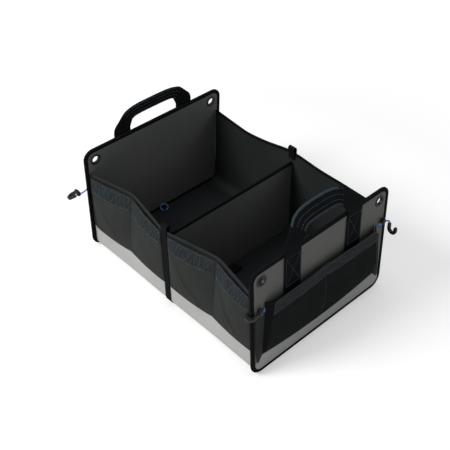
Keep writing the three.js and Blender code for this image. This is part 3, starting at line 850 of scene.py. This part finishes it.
def build_gusset_web_and_painted_shade(end_name, end, side):
    """The folded side cloth of the end pocket, lying in pleats on the panel between pocket and edge, and
    darker than the grey cover there as painted shade from the pocket.
    """
    side_name = "near" if end * side < 0 else "far"
    tucked = 0 if side_name == "near" else FAR_GUSSET_TUCK
    edge = PANEL_WIDTH / 2 - BINDING_REACH - 0.4

    def where(u, v):
        low, top = WEB_FOOT + WEB_FOOT_RISE * (1 - u), WEB_TOP - WEB_TOP_FALL * u
        z = low + (top - low) * v
        rise = max(0, (z - END_POCKET_BOTTOM) / (END_POCKET_TOP - END_POCKET_BOTTOM))
        inner = end_pocket_half(rise) + GUSSET_FOOT + GUSSET_SPREAD * rise - 1.5 - tucked * 0.5
        outer = edge - 7 * (1 - v) ** 6 - tucked * v
        pleats = 0.5 * math.sin(2 * math.pi * (z + 22 * u) / GUSSET_PLEAT)
        pleats = pleats * math.sin(math.pi * min(1, v * 1.2)) ** 2
        out = END_POCKET_BASE + 0.9 + max(-0.3, pleats)
        return on_end(end, out, side * (inner + (outer - inner) * u), z)

    name = f"{end_name}_{side_name}_gusset"
    # The web takes the black cloth painted lighter, still darker than the grey cover: painted shade of the
    # cover beside the pocket
    web = cloth(name, 14, 90, (26, 140), where, GUSSET_CLOTH, black_cloth_painted_lighter)


def handle_line(slump, t):
    """A handle's middle line on the panel for t up to 0.5: y, z, half its width and half its thickness."""
    top = PANEL_HEIGHT
    flat = (HANDLE_WIDTH / 2, HANDLE_HALF_THICKNESS)
    grip = (GRIP_HALF_WIDTH, GRIP_HALF_THICKNESS)
    stops = (
        (0, HANDLE_SPACING, HANDLE_END, *flat),
        (0.2, HANDLE_SPACING, top - 20, *flat),
        (0.26, HANDLE_SPACING, top + 9, *flat),
        (0.31, HANDLE_SPACING - 8 - slump * 0.6, top + GRIP_RISE * 0.46, 21, 1.5),
        (0.355, HANDLE_SPACING - 20 - slump, top + GRIP_RISE * 0.8, GRIP_HALF_WIDTH + 2, 2.5),
        (0.39, HANDLE_SPACING - 36 - slump, top + GRIP_RISE * 0.94, *grip),
        (0.43, HANDLE_SPACING - 58 - slump, top + GRIP_RISE * 0.99, *grip),
        (0.5, 0, top + GRIP_RISE, *grip),
    )
    share = min(max(t, 0), 0.5)
    for i, (a, b) in enumerate(zip(stops, stops[1:])):
        if share <= b[0]:
            before, after = stops[max(i - 1, 0)], stops[min(i + 2, len(stops) - 1)]
            k = (share - a[0]) / (b[0] - a[0])
            curved = [through(*four, k) for four in zip(before[1:], a[1:], b[1:], after[1:])]
            straight = [q + (r - q) * k for q, r in zip(a[1:], b[1:])]
            return [HANDLE_CURVE * c + (1 - HANDLE_CURVE) * q for c, q in zip(curved, straight)]
    return stops[-1][1:]


def handle_place(end, lean, slump, t, reach, out):
    """A place on a handle: t along it, reach across its width and out from its middle, -1 to 1."""
    turn = -1 if t <= 0.5 else 1
    share = min(t, 1 - t)
    y, z, half, thick = handle_line(slump, share)
    a, b = handle_line(slump, share - 0.004), handle_line(slump, share + 0.004)
    run = Vector((b[0] - a[0], b[1] - a[1])).normalized()
    y, z = y - run.y * reach * half, z + run.x * reach * half
    above = max(0, z - PANEL_HEIGHT - LEAN_START)
    bend = -lean * (above / (GRIP_RISE + GRIP_HALF_WIDTH - LEAN_START)) ** 1.3
    return on_end(end, BINDING_HALF + FIT + HANDLE_HALF_THICKNESS + bend + out * thick, turn * y, z)


def build_handle(end_name, end, lean, slump):
    """A webbing handle: flat and sewn down on the panel, folded and sewn into a grip at the top."""

    def where(t, a):
        share = min(t, 1 - t)
        power = 0.3 if share < 0.3 else 0.3 + 0.4 * min(1, (share - 0.3) / 0.08)
        wide, deep = rounded(a, 1, 1, power)
        return handle_place(end, lean, slump, t, wide if t <= 0.5 else -wide, deep)

    strap = rolled(f"{end_name}_handle_webbing", 260, 28, (560, 104), where, webbing)
    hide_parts(f"{end_name}_handle")

    def on_strap(y, z):
        return on_end(end, BINDING_HALF + FIT + 2 * HANDLE_HALF_THICKNESS + SEAM_PROUD, y, z)

    def grip_row(reach, face):
        def place(t):
            return handle_place(end, lean, slump, GRIP_ROW_START + GRIP_ROW_RUN * t, reach, face)

        return along(72, place)

    lines = []
    low, high = HANDLE_SEAM_FOOT, HANDLE_SEAM_TOP
    for turn in (-1, 1):
        left, right = turn * HANDLE_SPACING - HANDLE_SEAM_HALF, turn * HANDLE_SPACING + HANDLE_SEAM_HALF
        corners = [(left, low), (right, low), (right, high), (left, high), (left, low)]
        lines.append([on_strap(*corner) for corner in corners])
        lines.append([on_strap(left, low), on_strap(right, high)])
        lines.append([on_strap(right, low), on_strap(left, high)])
    for reach in GRIP_ROWS:
        lines += [grip_row(reach, -1.1), grip_row(reach, 1.1)]
    sewn(f"{end_name}_handle_stitches", lines)

    def edge(t, a):
        share = GRIP_EDGE_START + GRIP_EDGE_RUN * t
        wide, deep = rounded(a, 0.11, 0.7, 1)
        return handle_place(end, lean, slump, share, wide - GRIP_EDGE_REACH, 0.6 + deep)

    if lean:
        rolled(f"{end_name}_grip_edge", 90, 12, (180, 16), edge, edge_tape)


for end_name, end, lean, slump in (("front", 1, 34, 10), ("rear", -1, 0, 0)):
    build_panel_binding(end_name, end)
    build_end_pocket(end_name, end)
    build_handle(end_name, end, lean, slump)
    for side in (-1, 1):
        build_gusset_web_and_painted_shade(end_name, end, side)


# Middle straps, divider tape and pull tab


def build_middle_strap(name, side):
    """The webbing from the divider, over the wall and down to the base."""
    line = (
        (203.4, 221.5), (203.4, 236), (202.2, 242), (199.8, 247), (200, 251.5), (203, 254.4), (206.4, 254.6),
        (209.6, 252), (211, 247), (211.2, 238), (211.2, 60), (211.2, 24), (209.3, 14.4), (203.5, 5.9),
    )
    points = [Vector((0, side * y, z + strap_lift(0, min(z, WALL_TOP), side))) for y, z in line]
    lengths = [(b - a).length for a, b in zip(points, points[1:])]
    total = sum(lengths)

    def at(t):
        run = min(max(t, 0), 1) * total
        for a, b, length in zip(points, points[1:], lengths):
            if run <= length:
                return a.lerp(b, run / length)
            run -= length
        return points[-1]

    def where(t, a):
        tangent = (at(t + 0.01) - at(t - 0.01)).normalized()
        out = tangent.cross(Vector((1, 0, 0)))
        wide, deep = rounded(a, STRAP_WIDTH / 2, STRAP_HALF, 0.35)
        return at(t) + Vector((wide, 0, 0)) + out * deep

    strap = rolled(f"{name}_strap_webbing", 110, 20, (total, 54), where, webbing)
    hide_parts(f"{name}_middle_strap")


def build_divider_tape():
    """The tape folded over the divider's top edge."""

    def where(t, a):
        across, up = rounded(a, DIVIDER_TAPE_HALF_THICKNESS, DIVIDER_TAPE_HALF_HEIGHT, 0.5)
        return across, (2 * t - 1) * DIVIDER_HALF, DIVIDER_TOP - DIVIDER_TAPE_DROP + up

    tape = rolled("divider_tape", 60, 16, (406, 24), where, binding_tape)
    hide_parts("divider_binding")


def build_pull_tab():
    """The folded webbing tab on the front floor board."""
    line = ((7.4, 5.4), (16, 5.4), (25, 5.6), (34, 8), (37.5, 11), (34, 13.6), (31, 14.4))
    points = [Vector((x, 0, z)) for x, z in line]

    def where(t, a):
        place = min(t * (len(points) - 1), len(points) - 1.001)
        i = int(place)
        at = points[i].lerp(points[i + 1], place - i)
        tangent = (points[i + 1] - points[i]).normalized()
        out = tangent.cross(Vector((0, 1, 0)))
        wide, deep = rounded(a, TAB_WIDTH / 2, STRAP_HALF, 0.35)
        return at + Vector((0, wide - TAB_ASIDE, 0)) + out * deep

    tab = rolled("front_board_tab", 24, 20, (50, 56), where, webbing, body="front_floor")
    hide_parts("front_pull_tab")


for side_name, side in (("near", -1), ("far", 1)):
    build_middle_strap(side_name, side)
build_divider_tape()
build_pull_tab()


# The carried-over solids

FINISHES = {
    "panel_board": board,
    "panel_cover": grey_cloth,
    "panel_lining": lining_cloth,
    # the strips are the silver cloth painted darker, as painted shade
    "base_strip": silver_strip_painted_shade,
    "divider_panel": lining_cloth,
    "floor_board": board_cloth,
    "eyelet": acetal,
    "cord_lock": acetal,
    "lock_plunger": acetal,
    "hook": acetal,
}
for name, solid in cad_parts.items():
    for ending, finish in FINISHES.items():
        if name.endswith(ending):
            solid.data.materials.clear()
            solid.data.materials.append(finish)


# Floor, light


def build_floor():
    """A pale floor, which glows for the camera, most of all far off, to meet the white background."""
    mesh = bmesh.new()
    bmesh.ops.create_grid(mesh, x_segments=1, y_segments=1, size=6)
    data = bpy.data.meshes.new("floor")
    mesh.to_mesh(data)
    mesh.free()
    material, tree, shader = blank("matt white paper", 0.9)
    shader.inputs["Base Color"].default_value = (0.8, 0.8, 0.8, 1)
    path = node(tree, "ShaderNodeLightPath")
    place = node(tree, "ShaderNodeTexCoord").outputs["Object"]
    away = node(tree, "ShaderNodeVectorMath", {"operation": "LENGTH"}, _0=place)
    far = node(tree, "ShaderNodeMapRange", None, Value=away.outputs["Value"])
    for socket, value in (("From Min", 0.8), ("From Max", 3.0), ("To Min", 0.36), ("To Max", 0.95)):
        far.inputs[socket].default_value = value
    seen = path.outputs["Is Camera Ray"]
    glow = node(tree, "ShaderNodeMath", {"operation": "MULTIPLY"}, _0=seen, _1=far.outputs[0])
    shader.inputs["Emission Color"].default_value = (1, 1, 1, 1)
    tree.links.new(glow.outputs[0], shader.inputs["Emission Strength"])
    data.materials.append(material)
    floor = bpy.data.objects.new("floor", data)
    bpy.context.scene.collection.objects.link(floor)


def light(name, at, size, power, towards=(0, 0, 0.1)):
    """A round area light, its place and size in metres and its power in watts, turned towards the box."""
    data = bpy.data.lights.new(name, "AREA")
    data.shape = "DISK"
    data.size = size
    data.energy = power
    lamp = bpy.data.objects.new(name, data)
    lamp.location = at
    lamp.rotation_euler = (Vector(towards) - Vector(at)).to_track_quat("-Z", "Y").to_euler()
    bpy.context.scene.collection.objects.link(lamp)


def build_world():
    """Soft light from all round, and pure white for the camera."""
    world = bpy.data.worlds.new("studio")
    world.use_nodes = True
    tree = world.node_tree
    tree.nodes.clear()
    path = node(tree, "ShaderNodeLightPath")
    soft = node(tree, "ShaderNodeBackground", None, Color=(1, 1, 1, 1), Strength=0.26)
    white = node(tree, "ShaderNodeBackground", None, Color=(1, 1, 1, 1), Strength=1.0)
    seen = path.outputs["Is Camera Ray"]
    mix = node(tree, "ShaderNodeMixShader", None, _0=seen, _1=soft.outputs[0], _2=white.outputs[0])
    out = node(tree, "ShaderNodeOutputWorld")
    tree.links.new(mix.outputs[0], out.inputs["Surface"])
    bpy.context.scene.world = world


build_floor()
build_world()
light("key", (-0.9, -2.3, 2.3), 1.4, 72)
light("fill", (2.4, 1.4, 1.4), 1.6, 10)
light("top", (0, 0.2, 3.1), 2.0, 22)
bpy.context.scene.view_settings.view_transform = "Standard"
